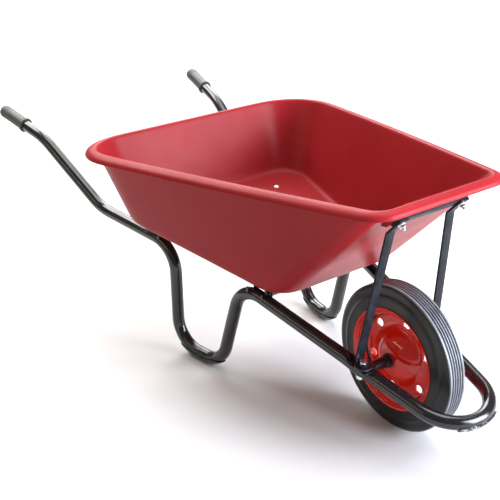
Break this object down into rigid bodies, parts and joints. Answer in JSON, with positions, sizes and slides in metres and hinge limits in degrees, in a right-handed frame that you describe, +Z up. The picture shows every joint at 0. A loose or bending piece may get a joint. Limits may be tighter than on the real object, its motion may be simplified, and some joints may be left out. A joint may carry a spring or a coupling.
{
  "type": "wheelbarrow",
  "caption": "Builder's barrow: a flared deep pan on a bent-tube frame with looped feet, two handles, and a dished wheel inside the frame's front bow.",
  "frame": {"origin": "on the ground, midway along the barrow from the grips' ends to the nose, on its plane of symmetry", "axes": "+X forward to the wheel, +Y to the barrow's left, +Z up"},
  "size_m": [1.5968, 0.7538, 0.6072],
  "materials": {
    "frame_paint": "gloss black paint over steel tube, scuffed where it stands",
    "stay_paint": "satin black-grey paint on flat steel bar",
    "pan_red": "red moulded pan with a satin gloss and a fine grain",
    "wheel_red": "gloss red paint on pressed steel",
    "tyre_rubber": "black ribbed solid rubber with a slight shine",
    "grip_rubber": "matte black moulded grip",
    "bush_plastic": "black moulded bearing plastic",
    "zinc": "bright zinc plating"
  },
  "bodies": {
    "frame": {"frame_tube": "frame_paint", "nose_shoe": "frame_paint", "axle": "frame_paint", "pan": "pan_red", "lip_bar": "stay_paint", "rear_crossmember": "frame_paint", "front_crossmember": "frame_paint", "grip_left": "grip_rubber", "grip_right": "grip_rubber", "foot_shoe_left": "frame_paint", "foot_shoe_right": "frame_paint", "stay_left": "stay_paint", "stay_right": "stay_paint", "axle_collars": "frame_paint", "axle_bolts": "zinc", "axle_bolt_washers": "zinc", "axle_nuts": "zinc", "pan_bolts": "zinc", "pan_washers": "zinc", "pan_nuts": "zinc", "lip_bolts": "zinc", "lip_washers": "zinc", "lip_nuts": "zinc"},
    "wheel": {"tyre": "tyre_rubber", "wheel_disc_left": "wheel_red", "wheel_disc_right": "wheel_red", "hub_tube": "wheel_red", "bush_left": "bush_plastic", "bush_right": "bush_plastic"}
  },
  "joints": [
    {"name": "wheel_spin", "type": "hinge", "parent": "frame", "child": "wheel", "pos_m": [0.541, 0, 0.1775], "axis": [0, 1, 0], "continuous": true}
  ]
}
